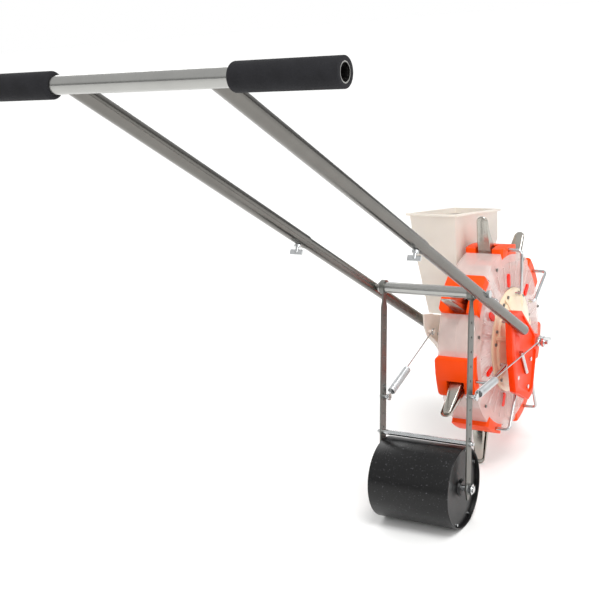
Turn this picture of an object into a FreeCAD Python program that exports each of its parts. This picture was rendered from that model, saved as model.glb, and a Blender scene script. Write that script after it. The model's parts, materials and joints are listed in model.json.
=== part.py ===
import FreeCAD, Part
import math
import os

# Hand-pushed drum seeder: a seven-mouth planting drum with a hopper on its left,
# a T-handle of two telescoping tubes, and a press roller trailed on two sprung arms.
# Millimetres. +X is the direction of travel, +Y the machine's left, +Z up.
# The origin is on the ground, below the middle of the machine's length and width.

Vec = FreeCAD.Vector
AXIS_Y = Vec(0, 1, 0)
SIDES = {"left": 1, "right": -1}

# Main stations
axle_x = 416.4
axle_z = 260.5
pivot_x = axle_x - 312.0
pivot_z = 453.0
roller_x = axle_x - 372.0
roller_radius = 79.5

# Handle
bar_x = axle_x - 1089.5
bar_z = 928.3
bar_od = 25.0
bar_id = 21.5
bar_half = 286.5
tube_y = 112.0
tube_end_x = axle_x - 98.2
tube_end_z = 317.0
upper_od = 24.5
lower_od = 21.5
lower_id = 18.3
slide_gap = 0.06
joint_at = 626.0
tube_overlap = 190.0
grip_od = 36.5
grip_inner_y = 139.0
grip_outer_y = 287.0

# Cross tube and trailing arms
cross_half = 101.0
arm_y = 91.6
arm_width = 22.0
arm_thick = 3.0
arm_eye_od = 29.0
arm_hole_r = 2.6
arm_hole_pitch = 28.0
arm_hole_count = 9
brace_z = 167.0
brace_r = 5.0
roller_half = 84.0
roller_wall = 3.0
roller_axle_r = 6.0
pin_r = 4.0

# Springs: the left one hangs inside its arm and pulls on a lug of the left bracket,
# the right one hangs outside its arm and pulls on the axle.
pin_z = {"left": 238.0, "right": 258.0}
pin_y = {"left": 81.5, "right": -102.5}
lug_x = axle_x - 120.0
lug_z = 303.0
axle_hook_y = -112.5
coil_r = 8.0
coil_bore = 6.2
coil_start = 18.0
coil_length = 80.0
wire_r = 1.6
eye_half = 1.9
draw_hold = 40.0

# Drum
unit_count = 7
unit_pitch = 360.0 / unit_count
unit_phase = 84.5
axle_r = 6.0
axle_shoulder = 121.0
axle_end = 129.0
axle_end_r = 5.0
axle_nut_across = 19.0
axle_nut_thick = 4.8
face_y = 45.0
face_r = 172.0
rim_r = 197.0
rim_side_y = 39.0
wall = 3.0
seat_inner_r = 166.0
seat_outer_r = 206.0
seat_half_length = 43.5
seat_half_width = 42.0
recess_half_width = 19.0
pivot_u = 196.5
pivot_t = 5.5
lever_r = 3.5
lever_y = -72.0
lever_tail_y = -59.0
lever_inner_u = 103.6
lever_inner_t = 9.6
tip_radius = 277.0
tip_angle = 11.3
jaw_skin = 1.6
dome_r = 113.0
dome_land_y = 50.4
ring_land_y = 49.0
seed_cap_r = 6.5
seed_cap_half = 8.5
seed_cap_at = 132.0
seed_cap_angle = 6.1

# Hopper
hopper_in_y = 50.0
hopper_out_y = 156.0
hopper_wall = 2.5
hopper_rear_x = axle_x - 50.0
hopper_front_x = axle_x + 193.0
hopper_rear_z = 544.0
hopper_front_z = 507.0
hopper_floor_z = 318.0
neck_in_y = 55.0
neck_out_y = 90.0

# Side brackets
bracket_in_y = 91.0
bracket_out_y = 104.0
bracket_pocket = 4.0
wing_thick = 3.5
slot_y = 103.4


def box(x0, x1, y0, y1, z0, z1):
    return Part.makeBox(x1 - x0, y1 - y0, z1 - z0, Vec(x0, y0, z0))


def cyl_y(x, z, radius, y0, y1):
    low, high = min(y0, y1), max(y0, y1)
    return Part.makeCylinder(radius, high - low, Vec(x, low, z), AXIS_Y)


def rod(start, end, radius):
    return Part.makeCylinder(radius, (end - start).Length, start, end - start)


def tube(start, end, outer_r, inner_r):
    return rod(start, end, outer_r).cut(rod(start, end, inner_r))


def plate_xz(points, y0, y1):
    """A flat plate with its outline in X and Z, from y0 to y1."""
    corners = [Vec(x, y0, z) for x, z in points]
    face = Part.Face(Part.makePolygon(corners + corners[:1]))
    return face.extrude(Vec(0, y1 - y0, 0))


def spun_y(points, x, z):
    """A ring turned about the Y line through x, z from (radius, y) points."""
    corners = [Vec(x + r, y, z) for r, y in points]
    face = Part.Face(Part.makePolygon(corners + corners[:1]))
    return face.revolve(Vec(x, 0, z), AXIS_Y, 360)


def fuse(shapes):
    return shapes[0].fuse(shapes[1:]).removeSplitter() if len(shapes) > 1 else shapes[0]


def hexagon_y(x, z, across, y0, y1):
    radius = across / math.sqrt(3.0)
    turns = [math.radians(60 * k) for k in range(6)]
    return plate_xz([(x + radius * math.cos(a), z + radius * math.sin(a)) for a in turns], y0, y1)


def turned(shape, degrees):
    """The shape turned about the drum axle, from the +X direction towards +Z."""
    copy = shape.copy()
    copy.rotate(Vec(axle_x, 0, axle_z), AXIS_Y, -degrees)
    return copy


def unit_turns():
    return [unit_phase + k * unit_pitch for k in range(unit_count)]


def at_unit(u, t, y):
    """A point of the unit that lies along +X: u outwards, t along the rim, y across."""
    return Vec(axle_x + u, y, axle_z + t)


# ---- handle -------------------------------------------------------------------

def handle_point(side, distance):
    """A point on a handle tube's centre line, measured down from the crossbar."""
    top = Vec(bar_x, side * tube_y, bar_z)
    end = Vec(tube_end_x, side * tube_y, tube_end_z)
    return top + (end - top).normalize() * distance


def handle_length():
    return math.hypot(tube_end_x - bar_x, bar_z - tube_end_z)


def crossbar():
    return cyl_y(bar_x, bar_z, bar_od / 2, -bar_half, bar_half).cut(
        cyl_y(bar_x, bar_z, bar_id / 2, -bar_half, bar_half))


def upper_tube(side):
    inner_r = lower_od / 2 + slide_gap
    body = tube(handle_point(side, 0), handle_point(side, joint_at), upper_od / 2, inner_r)
    saddle = cyl_y(bar_x, bar_z, bar_od / 2, -bar_half, bar_half)
    screw_hole = rod(*lock_line(side, 0, 30), 3.05)
    return body.cut(saddle).cut(screw_hole)


def lower_tube(side):
    start = joint_at - tube_overlap
    return tube(handle_point(side, start), handle_point(side, handle_length()), lower_od / 2, lower_id / 2)


def lock_line(side, near, far):
    """Two points below a handle tube, square to it, at the clamp of the joint."""
    middle = handle_point(side, joint_at - 22)
    along = (handle_point(side, 1) - handle_point(side, 0)).normalize()
    down = AXIS_Y.cross(along) * -1
    if down.z > 0:
        down = down * -1
    return middle + down * near, middle + down * far


def lock_screws():
    screws = []
    for side in SIDES.values():
        start, end = lock_line(side, lower_od / 2 + 0.3, 27)
        collar_start, collar_end = lock_line(side, upper_od / 2 + 0.5, upper_od / 2 + 5)
        wing_start, wing_end = lock_line(side, 21, 31)
        screws.append(fuse([rod(start, end, 3.0), rod(collar_start, collar_end, 6.0), wing(wing_start, wing_end)]))
    return Part.makeCompound(screws)


def wing(start, end):
    """The flat two-eared grip of a lock screw."""
    ear = Part.makeBox(3.6, 24, (end - start).Length, Vec(-1.8, -12, 0))
    ear = ear.makeFillet(1.5, [e for e in ear.Edges if abs(e.tangentAt(e.FirstParameter).y) > 0.9])
    turn = FreeCAD.Rotation(Vec(0, 0, 1), end - start)
    ear.Placement = FreeCAD.Placement(start, turn)
    return ear


def grip(side):
    near, far = side * grip_inner_y, side * grip_outer_y
    sleeve = cyl_y(bar_x, bar_z, grip_od / 2, near, far)
    sleeve = sleeve.makeFillet(5.0, [e for e in sleeve.Edges if abs(e.BoundBox.Center.y - near) < 1.0
                                     and e.BoundBox.XLength > 1.0])
    return sleeve.cut(cyl_y(bar_x, bar_z, bar_od / 2, near, far))


# ---- cross tube, brackets, axle ----------------------------------------------

def cross_tube():
    return tube(Vec(pivot_x, -cross_half, pivot_z), Vec(pivot_x, cross_half, pivot_z), lower_od / 2, lower_id / 2)


def cross_point():
    """Where the cross tube's line meets the handle tubes."""
    return pivot_x, pivot_z


def cross_bolts():
    x, z = cross_point()
    bolts = []
    for side in SIDES.values():
        outside = side * (tube_y + lower_od / 2 + 0.1)
        head = hexagon_y(x, z, 13.0, outside, outside + side * 6)
        shank = cyl_y(x, z, 4.0, side * (cross_half - 30), outside)
        plug = cyl_y(x, z, lower_id / 2 - 0.1, side * (cross_half - 18), side * (cross_half - 0.2))
        bolts.append(fuse([head, shank, plug]))
    return Part.makeCompound(bolts)


def drilled_lower_tube(side):
    x, z = cross_point()
    hole = cyl_y(x, z, 4.1, side * (tube_y - 20), side * (tube_y + 20))
    return lower_tube(side).cut(hole)


def bracket_left():
    """The plate on the hopper side, with the lug that the left spring pulls on."""
    near = pin_y["left"]
    lug = cyl_y(lug_x, lug_z, pin_r, near - 5, bracket_in_y + 1)
    head = cyl_y(lug_x, lug_z, pin_r + 2, near - 5, near - 3)
    wing = plate_xz([(axle_x + x, z) for x, z in bracket_wing_outline()], bracket_in_y, bracket_in_y + wing_thick)
    return bracket(SIDES["left"], bracket_left_outline()).fuse([wing, lug, head]).removeSplitter()


def tube_groove(side):
    far = handle_length() + 1
    return rod(handle_point(side, far - 160), handle_point(side, far), lower_od / 2 + 0.1)


def bracket_right_outline():
    """The stationary plate that holds the axle and leans along the handle tube."""
    return [(-146, 372), (-84, 353), (-8, 281), (-2, 240), (-16, 206), (-34, 156), (-60, 150), (-134, 192), (-146, 275)]


def bracket_left_outline():
    return [(-112, 338), (-66, 325), (20, 292), (28, 262), (16, 232), (-30, 214), (-72, 258), (-104, 284)]


def bracket_wing_outline():
    """The thin rear wing that carries the spring lug."""
    return [(-140, 347), (-96, 336), (-60, 300), (-72, 262), (-91, 275), (-110, 288), (-128, 296), (-140, 320)]


def bracket(side, outline):
    near, far = side * bracket_in_y, side * bracket_out_y
    body = plate_xz([(axle_x + x, z) for x, z in outline], near, far)
    upright = [e for e in body.Edges if e.BoundBox.YLength > 10]
    body = body.makeFillet(6.0, upright)
    pocket = plate_xz([(axle_x - 30 + (x + 30) * 0.84, 255 + (z - 255) * 0.86) for x, z in outline],
                      far - side * bracket_pocket, far)
    boss = cyl_y(axle_x, axle_z, 17, near, far)
    saddle = rod(handle_point(side, handle_length() - 46), handle_point(side, handle_length() + 14), 16.5)
    keep = saddle.common(body)
    body = body.cut(pocket).fuse([boss, keep])
    body = body.cut(tube_groove(side)).cut(cyl_y(axle_x, axle_z, axle_r + 0.05, near - side, far + side))
    return body.removeSplitter()


def bracket_right():
    side = SIDES["right"]
    body = bracket(side, bracket_right_outline())
    return body.cut(slot_cutter(side))


def slot_ends(y):
    return Vec(axle_x - 94, y, 269), Vec(axle_x - 65, y, 210)


def slot_cutter(side):
    top, bottom = slot_ends(side * slot_y)
    return rod(top, bottom, 5.0)


def adjuster_rod():
    top, bottom = slot_ends(-slot_y)
    along = (bottom - top).normalize()
    return rod(top + along * 3, bottom - along * 3, 4.2)


def bracket_screws():
    """Pan heads on the pocket floors of the two brackets."""
    floor_y = bracket_out_y - bracket_pocket
    spots = {"right": ((-57, 178), (-112, 216), (-34, 232)), "left": ((-84, 290), (-38, 240))}
    screws = []
    for name, side in SIDES.items():
        for x, z in spots[name]:
            screws.append(cyl_y(axle_x + x, z, 4.5, side * floor_y, side * (floor_y + 3.2)))
    return Part.makeCompound(screws)


def axle():
    """The fixed axle, with a thinner free end outside each outer nut."""
    ends = cyl_y(axle_x, axle_z, axle_end_r, -axle_end, axle_end)
    return ends.fuse(cyl_y(axle_x, axle_z, axle_r, -axle_shoulder, axle_shoulder))


def axle_nuts():
    """An inner nut against each bracket and an outer nut at each shoulder of the axle."""
    nuts = []
    for side in SIDES.values():
        inner = hexagon_y(axle_x, axle_z, axle_nut_across, side * bracket_out_y, side * (bracket_out_y + axle_nut_thick))
        outer = hexagon_y(axle_x, axle_z, axle_nut_across, side * (axle_shoulder - axle_nut_thick), side * axle_shoulder)
        nuts += [inner.cut(axle()), outer.cut(axle())]
    return Part.makeCompound(nuts)


# ---- hopper -------------------------------------------------------------------

def hopper_section(inset, level):
    """The four corners of the hopper's wall at the rim (2), the knee (1) or the floor (0)."""
    low_y, high_y = ((60, 128), (53, 146), (hopper_in_y, hopper_out_y))[level]
    rear_x, front_x = ((axle_x - 38, axle_x + 58), (axle_x - 47, axle_x + 194), (hopper_rear_x, hopper_front_x))[level]
    rear_z, front_z = ((hopper_floor_z, hopper_floor_z), (442, 436), (rim_z(rear_x + inset), rim_z(front_x - inset)))[level]
    corners = [Vec(rear_x + inset, low_y + inset, rear_z), Vec(front_x - inset, low_y + inset, front_z),
               Vec(front_x - inset, high_y - inset, front_z), Vec(rear_x + inset, high_y - inset, rear_z)]
    return corners


def rim_slope():
    return (hopper_front_z - hopper_rear_z) / (hopper_front_x - hopper_rear_x)


def rim_z(x):
    """The height of the sloping rim plane at x."""
    return hopper_rear_z + rim_slope() * (x - hopper_rear_x)


def closed_wire(corners):
    return Part.makePolygon(corners + corners[:1])


def rim_normal():
    return Vec(-rim_slope(), 0, 1).normalize()


def hopper():
    outer = Part.makeLoft([closed_wire(hopper_section(0, k)) for k in range(3)], True, True)
    inner = Part.makeLoft([closed_wire(hopper_section(hopper_wall, k)) for k in range(3)], True, True)
    up = rim_normal()
    lip = Part.Face(closed_wire(hopper_section(-6.0, 2))).extrude(up * -5.0)
    mouth = Part.Face(closed_wire(hopper_section(hopper_wall, 2)))
    throat = mouth.extrude(up * 2.0).fuse(mouth.extrude(up * -6.0))
    floor_hole = box(axle_x - 26, axle_x + 30, neck_in_y + 12, neck_out_y - 4, hopper_floor_z - 5, hopper_floor_z + 8)
    body = outer.fuse(lip).cut(inner.fuse(throat))
    floor = Part.Face(closed_wire(hopper_section(0.5, 0))).extrude(Vec(0, 0, hopper_wall))
    return body.fuse(floor).cut(floor_hole).removeSplitter()


def feed_neck():
    """The chute that carries the seed down from the hopper into the drum's left hub."""
    outer = box(axle_x - 36, axle_x + 36, neck_in_y + 8, neck_out_y, axle_z - 36, hopper_floor_z)
    inner = box(axle_x - 33, axle_x + 33, neck_in_y + 11, neck_out_y - 3, axle_z - 33, hopper_floor_z + 1)
    post = cyl_y(axle_x, axle_z, axle_r + 4, neck_out_y - 9, neck_out_y - 1)
    collar = cyl_y(axle_x, axle_z, 33.5, neck_in_y, neck_in_y + 9)
    mouth = cyl_y(axle_x, axle_z, 30.0, neck_in_y - 1, neck_in_y + 12)
    bore = cyl_y(axle_x, axle_z, axle_r + 0.05, neck_out_y - 12, neck_out_y + 2)
    return outer.cut(inner).fuse(post).fuse(collar).cut(mouth).cut(bore).removeSplitter()


# ---- drum ---------------------------------------------------------------------

def side_cover(side):
    """A clear dished half of the drum: face, chamfer, and rim blocks between the seats."""
    profile = [(62, face_y), (face_r, face_y), (186, 42), (rim_r, rim_side_y), (rim_r, 0.1), (rim_r - 4, 0.1),
               (rim_r - 4, rim_side_y - wall), (184, 42 - wall), (face_r - 1, face_y - wall), (62, face_y - wall)]
    shell = spun_y([(r, side * y) for r, y in profile], axle_x, axle_z)
    ribs = [turned(cover_rib(side), unit_phase + 15 + k * unit_pitch / 4) for k in range(unit_count * 4)]
    gaps = [turned(seat_gap(), angle) for angle in unit_turns()]
    caps = [turned(cap_hole(), angle) for angle in unit_turns()]
    return shell.fuse(ribs).cut(Part.makeCompound(gaps)).cut(Part.makeCompound(caps)).removeSplitter()


def cover_rib(side):
    low, high = sorted((side * (face_y - 1), side * (face_y + 2.2)))
    return box(axle_x + 121, axle_x + face_r - 2, low, high, axle_z - 0.9, axle_z + 0.9)


def seat_gap():
    """The room for one seat through the rim, 0.2 wider than the seat."""
    half = seat_half_length + 0.2
    deep = seat_half_width + 0.2
    return box(axle_x + seat_inner_r - 0.2, axle_x + 230, -deep, deep, axle_z - half, axle_z + half)


def cap_hole():
    return cap_body(seed_cap_r + 0.2, -60, -30)


def cap_body(radius, y0, y1):
    """A long round-ended body, laid outwards, at a seed cap's place."""
    inner, outer = axle_x + seed_cap_at - seed_cap_half, axle_x + seed_cap_at + seed_cap_half
    middle = box(inner, outer, y0, y1, axle_z - radius, axle_z + radius)
    body = fuse([middle, cyl_y(inner, axle_z, radius, y0, y1), cyl_y(outer, axle_z, radius, y0, y1)])
    return turned(body, seed_cap_angle)


def seed_caps():
    return Part.makeCompound([turned(cap_body(seed_cap_r, -47.5, -36), angle) for angle in unit_turns()])


def seat():
    """One orange mouth seat, with the pocket where its beak is hung."""
    block = box(axle_x + seat_inner_r, axle_x + 220, -seat_half_width, seat_half_width,
                axle_z - seat_half_length, axle_z + seat_half_length)
    block = block.makeFillet(7.0, [e for e in block.Edges if e.BoundBox.XLength > 40])
    block = block.common(cyl_y(axle_x, axle_z, seat_outer_r, -60, 60))
    pocket = box(axle_x + 176, axle_x + 230, -recess_half_width, recess_half_width, axle_z + 6.6, axle_z + 60)
    under = box(axle_x + 176, axle_x + 200.8, -recess_half_width, recess_half_width, axle_z - 4, axle_z + 8)
    bore = cyl_y(axle_x + pivot_u, axle_z + pivot_t, lever_r + 0.06, -60, recess_half_width + 6)
    hollow = box(axle_x + 160, axle_x + 198, 5 - seat_half_width, seat_half_width - 5,
                 axle_z - seat_half_length + 5, axle_z - 9)
    return block.cut(pocket).cut(under).cut(bore).cut(hollow)


def jaw_outline(length, base_half, tip_half):
    """A tapered tongue with a round end: s along the jaw, y across."""
    arc_at = length - tip_half
    left = Part.makeLine(Vec(0, -base_half, 0), Vec(arc_at, -tip_half, 0))
    tip = Part.Arc(Vec(arc_at, -tip_half, 0), Vec(length, 0, 0), Vec(arc_at, tip_half, 0)).toShape()
    right = Part.makeLine(Vec(arc_at, tip_half, 0), Vec(0, base_half, 0))
    base = Part.makeLine(Vec(0, base_half, 0), Vec(0, -base_half, 0))
    return Part.Face(Part.Wire([left, tip, right, base]))


def scoop(start, end, base_half, tip_half, base_depth, tip_depth, opens):
    """A jaw pressed from sheet: a web from start to end, edged by a flange that opens
    towards +t (opens = 1) or -t (opens = -1) and is lower at the tip."""
    length = math.hypot(end[0] - start[0], end[1] - start[1])
    angle = math.degrees(math.atan2(end[1] - start[1], end[0] - start[0]))
    solid = jaw_outline(length, base_half, tip_half).extrude(Vec(0, 0, base_depth))
    hollow = jaw_outline(length - jaw_skin, base_half - jaw_skin, tip_half - jaw_skin)
    hollow = hollow.extrude(Vec(0, 0, base_depth + 5))
    hollow.translate(Vec(-0.01, 0, jaw_skin))
    slope = [Vec(-5, -60, base_depth), Vec(length + 5, -60, tip_depth), Vec(length + 5, -60, 90), Vec(-5, -60, 90)]
    trim = Part.Face(Part.makePolygon(slope + slope[:1])).extrude(Vec(0, 120, 0))
    shape = solid.cut(hollow).cut(trim)
    if opens < 0:
        shape.rotate(Vec(0, 0, 0), Vec(1, 0, 0), 180)
    shape.rotate(Vec(0, 0, 0), AXIS_Y, -angle)
    shape.translate(at_unit(start[0], start[1], 0))
    return shape


def tip_point(radius):
    angle = math.radians(tip_angle)
    return radius * math.cos(angle), radius * math.sin(angle)


def fixed_jaw():
    """The trailing jaw, which stays fast in the seat."""
    start = (180.0, 35.5)
    return scoop(start, tip_point(tip_radius), 17.0, 11.5, 15.0, 4.0, -1)


def moving_jaw():
    """The leading jaw with its bent lever welded on; the lever's long leg is the pivot pin."""
    tip_u, tip_t = tip_point(tip_radius - 7.0)
    blade = scoop((pivot_u + 1.0, pivot_t + 1.0), (tip_u, tip_t - 4.4), 14.4, 8.6, 14.0, 2.2, 1)
    corner = at_unit(pivot_u, pivot_t, lever_y)
    inner = at_unit(lever_inner_u, lever_inner_t, lever_y)
    pin = rod(at_unit(pivot_u, pivot_t, recess_half_width + 5), corner, lever_r)
    bend = Part.makeSphere(lever_r, corner)
    leg = rod(corner, inner, lever_r)
    heel = Part.makeSphere(lever_r, inner)
    tail = rod(inner, at_unit(lever_inner_u, lever_inner_t, lever_tail_y), lever_r)
    return blade.fuse([pin, bend, leg, heel, tail]).removeSplitter()


def hub_right():
    """The domed cream hub on the lever side, with raised rays between the units."""
    profile = [(axle_r + 0.06, 41), (14, 41), (14, 62), (40, 62), (68, 58.4), (90, 52), (98, 47.6), (100, 45.1),
               (dome_r, 45.1), (dome_r, 48), (108, dome_land_y), (98, dome_land_y), (94, 55.5), (70, 62), (40, 66),
               (axle_r + 0.06, 66)]
    dome = spun_y([(r, -y) for r, y in profile], axle_x, axle_z)
    rays = []
    for angle in unit_turns():
        ray = plate_xz([(axle_x + 40, axle_z - 8), (axle_x + 108, axle_z - 3), (axle_x + 108, axle_z + 3),
                        (axle_x + 40, axle_z + 8)], -52, -62)
        rays.append(turned(ray, angle + unit_pitch / 2))
    limit = spun_y([(10, -40), (110, -40), (110, -50), (97, -57), (70, -64.5), (40, -68), (10, -68)], axle_x, axle_z)
    rays = [ray.common(limit) for ray in rays]
    return dome.fuse(rays).removeSplitter()


def hub_left():
    """The open hub on the hopper side: a ring, a boss and four spokes between them."""
    ring = spun_y([(36, 40), (62, 40), (62, 45.1), (78, 45.1), (78, ring_land_y), (64, ring_land_y),
                   (60, 53), (36, 53)], axle_x, axle_z)
    boss = spun_y([(axle_r + 0.06, 36), (12, 36), (12, 52), (axle_r + 0.06, 52)], axle_x, axle_z)
    spokes = [turned(box(axle_x + 10, axle_x + 38, 41, 47, axle_z - 3, axle_z + 3), 90 * k) for k in range(4)]
    return ring.fuse(spokes).fuse(boss).removeSplitter()


def cover_screws():
    """Pan-head screws that clamp the hubs to the clear covers."""
    screws = []
    for angle in unit_turns():
        for offset in (18, unit_pitch - 18):
            screws.append(turned(cyl_y(axle_x + 103, axle_z, 3.4, -dome_land_y, -dome_land_y - 3), angle + offset))
        screws.append(turned(cyl_y(axle_x + 71, axle_z, 3.0, ring_land_y, ring_land_y + 3), angle))
        for side in SIDES.values():
            screws.append(turned(cyl_y(axle_x + 182, axle_z, 3.4, side * 43.65, side * 46.2), angle + unit_pitch / 2))
    return Part.makeCompound(screws)


# ---- trailing arms and press roller -------------------------------------------

def arm_direction():
    return Vec(roller_x - pivot_x, 0, roller_radius - pivot_z).normalize()


def arm_point(distance, y):
    return Vec(pivot_x, y, pivot_z) + arm_direction() * distance


def arm_length():
    return math.hypot(roller_x - pivot_x, roller_radius - pivot_z)


def arm_station(z):
    """The distance down an arm at which its centre line passes height z."""
    return (pivot_z - z) / (pivot_z - roller_radius) * arm_length()


def arm(side):
    """A flat strip with an eye round the cross tube and a pointed foot at the roller."""
    low_y = side * arm_y - arm_thick / 2
    length = arm_length()
    half = arm_width / 2
    outline = [(12, -6), (26, -6), (40, -half), (length + 2, -half), (length + 22, -4), (length + 22, 4),
               (length + 2, half), (40, half), (26, 6), (12, 6)]
    face = Part.Face(Part.makePolygon([Vec(s, 0, w) for s, w in outline + outline[:1]]))
    strip = face.extrude(Vec(0, arm_thick, 0))
    angle = math.degrees(math.atan2(-arm_direction().z, arm_direction().x))
    strip.rotate(Vec(0, 0, 0), AXIS_Y, angle)
    strip.translate(Vec(pivot_x, low_y, pivot_z))
    near, far = side * arm_y - 4.5, side * arm_y + 4.5
    eye = cyl_y(pivot_x, pivot_z, arm_eye_od / 2, near, far)
    holes = [cyl_y(pivot_x, pivot_z, lower_od / 2 + 0.08, near - 1, far + 1),
             cyl_y(roller_x, roller_radius, roller_axle_r, near, far)]
    for k in range(arm_hole_count):
        middle = arm_point(56 + k * arm_hole_pitch, 0)
        holes.append(cyl_y(middle.x, middle.z, arm_hole_r, near, far))
    pin_height = pin_z["left" if side > 0 else "right"]
    for z, radius in ((brace_z, brace_r - 1.5), (pin_height, pin_r)):
        middle = arm_point(arm_station(z), 0)
        holes.append(cyl_y(middle.x, middle.z, radius, near, far))
    return strip.fuse(eye).cut(Part.makeCompound(holes)).removeSplitter()


def brace_rod():
    """The round rod between the arms, shouldered at each end, with a nut outside."""
    middle = arm_point(arm_station(brace_z), 0)
    inside = arm_y - arm_thick / 2
    outside = arm_y + arm_thick / 2
    core = cyl_y(middle.x, middle.z, brace_r, -inside, inside)
    ends = cyl_y(middle.x, middle.z, brace_r - 1.5, -outside - 9, outside + 9)
    nuts = [hexagon_y(middle.x, middle.z, 10.0, side * outside, side * (outside + 5)) for side in SIDES.values()]
    return core.fuse([ends] + nuts).removeSplitter()


def pin_centre(name):
    """The middle of a spring's eye on its pin."""
    middle = arm_point(arm_station(pin_z[name]), 0)
    return Vec(middle.x, pin_y[name], middle.z)


def hook_centre(name):
    """Where a spring pulls: on the lug of the left bracket, or on the right end of the axle."""
    return Vec(lug_x, pin_y["left"], lug_z) if name == "left" else Vec(axle_x, axle_hook_y, axle_z)


def spring_pins():
    """Headed pins through the arms: inwards on the left, outwards on the right."""
    pins = []
    for name, side in SIDES.items():
        middle = pin_centre(name)
        away = 1 if abs(middle.y) > arm_y else -1
        arm_face = side * (arm_y - away * arm_thick / 2)
        free_end = middle.y + side * away * 5
        shank = cyl_y(middle.x, middle.z, pin_r, arm_face - side * away * 3, free_end)
        arm_head = cyl_y(middle.x, middle.z, pin_r + 3, arm_face - side * away * 3, arm_face)
        free_head = cyl_y(middle.x, middle.z, pin_r + 3, free_end - side * away * 2, free_end)
        pins.append(fuse([shank, arm_head, free_head]))
    return Part.makeCompound(pins)


def spring_coil(name):
    """The close-wound coil as a sleeve, with its hook eye round the pin."""
    start = pin_centre(name)
    along = (hook_centre(name) - start).normalize()
    first, last = coil_start, coil_start + coil_length
    body = rod(start + along * first, start + along * last, coil_r)
    bore = rod(start + along * (first + 2.5), start + along * (last + 1), coil_bore)
    link = rod(start + along * (pin_r + 1), start + along * (first + 1), wire_r)
    eye = cyl_y(start.x, start.z, pin_r + 3.4, start.y - eye_half, start.y + eye_half)
    hole = cyl_y(start.x, start.z, pin_r + 0.15, start.y - 5, start.y + 5)
    return body.cut(bore).fuse(link).fuse(eye).cut(hole).removeSplitter()


def draw_wire(name):
    """The long straight hook: an eye where the spring pulls, running back into the coil."""
    start, end = pin_centre(name), hook_centre(name)
    along = (end - start).normalize()
    core_r = pin_r if name == "left" else axle_r
    inner_end = start + along * (coil_start + coil_length - draw_hold)
    eye = cyl_y(end.x, end.z, core_r + 3.4, end.y - eye_half, end.y + eye_half)
    hole = cyl_y(end.x, end.z, core_r + 0.15, end.y - 5, end.y + 5)
    wire = rod(inner_end, end - along * (core_r + 1), wire_r)
    button = rod(inner_end, inner_end + along * 3, 2.6)
    return wire.fuse([eye, button]).cut(hole).removeSplitter()


def roller_drum():
    return tube(Vec(roller_x, -roller_half, roller_radius), Vec(roller_x, roller_half, roller_radius),
                roller_radius, roller_radius - roller_wall)


def roller_end(side):
    """A flanged end disc, set 7 mm inside the drum's edge, with its axle bush."""
    out = roller_half - 7
    profile = [(roller_axle_r + 0.06, out - 22), (14, out - 22), (14, out - 4), (roller_radius - 10, out - 4),
               (roller_radius - 10, out - 16), (roller_radius - roller_wall - 0.1, out - 16),
               (roller_radius - roller_wall - 0.1, out), (18, out), (14, out + 4.5), (roller_axle_r + 0.06, out + 4.5)]
    return spun_y([(r, side * y) for r, y in profile], roller_x, roller_radius)


def roller_screws():
    screws = []
    for side in SIDES.values():
        for k in range(8):
            angle = math.radians(22.5 + 45 * k)
            x = roller_x + (roller_radius - 7.5) * math.cos(angle)
            z = roller_radius + (roller_radius - 7.5) * math.sin(angle)
            screws.append(cyl_y(x, z, 2.6, side * (roller_half - 7), side * (roller_half - 4.8)))
    return Part.makeCompound(screws)


def roller_axle():
    outside = arm_y + arm_thick / 2
    core = cyl_y(roller_x, roller_radius, roller_axle_r, -outside - 11, outside + 11)
    nuts = [hexagon_y(roller_x, roller_radius, 19.0, side * outside, side * (outside + 8)) for side in SIDES.values()]
    return core.fuse(nuts).removeSplitter()


def build():
    nodes = {
        "crossbar": crossbar(), "lock_screws": lock_screws(), "cross_tube": cross_tube(),
        "cross_bolts": cross_bolts(), "bracket_right": bracket_right(),
        "bracket_left": bracket_left(), "bracket_screws": bracket_screws(),
        "adjuster_rod": adjuster_rod(), "axle": axle(), "axle_nuts": axle_nuts(), "hopper": hopper(),
        "feed_neck": feed_neck(), "hub_right": hub_right(), "hub_left": hub_left(),
        "cover_screws": cover_screws(), "seed_caps": seed_caps(), "brace_rod": brace_rod(),
        "spring_pins": spring_pins(), "roller_drum": roller_drum(), "roller_screws": roller_screws(),
        "roller_axle": roller_axle(),
    }
    for name, side in SIDES.items():
        nodes["upper_tube_" + name] = upper_tube(side)
        nodes["lower_tube_" + name] = drilled_lower_tube(side)
        nodes["grip_" + name] = grip(side)
        nodes["side_cover_" + name] = side_cover(side)
        nodes["arm_" + name] = arm(side)
        nodes["spring_" + name] = spring_coil(name)
        nodes["draw_wire_" + name] = draw_wire(name)
        nodes["roller_end_" + name] = roller_end(side)
    for number, angle in enumerate(unit_turns(), 1):
        nodes["seat_%d" % number] = turned(seat(), angle)
        nodes["fixed_jaw_%d" % number] = turned(fixed_jaw(), angle)
        nodes["moving_jaw_%d" % number] = turned(moving_jaw(), angle)
    return nodes


os.makedirs("parts", exist_ok=True)
for node, shape in build().items():
    shape.exportStep("parts/" + node + ".step")
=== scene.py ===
import json
import math

import bmesh
import bpy
from mathutils import Matrix, Vector

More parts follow.
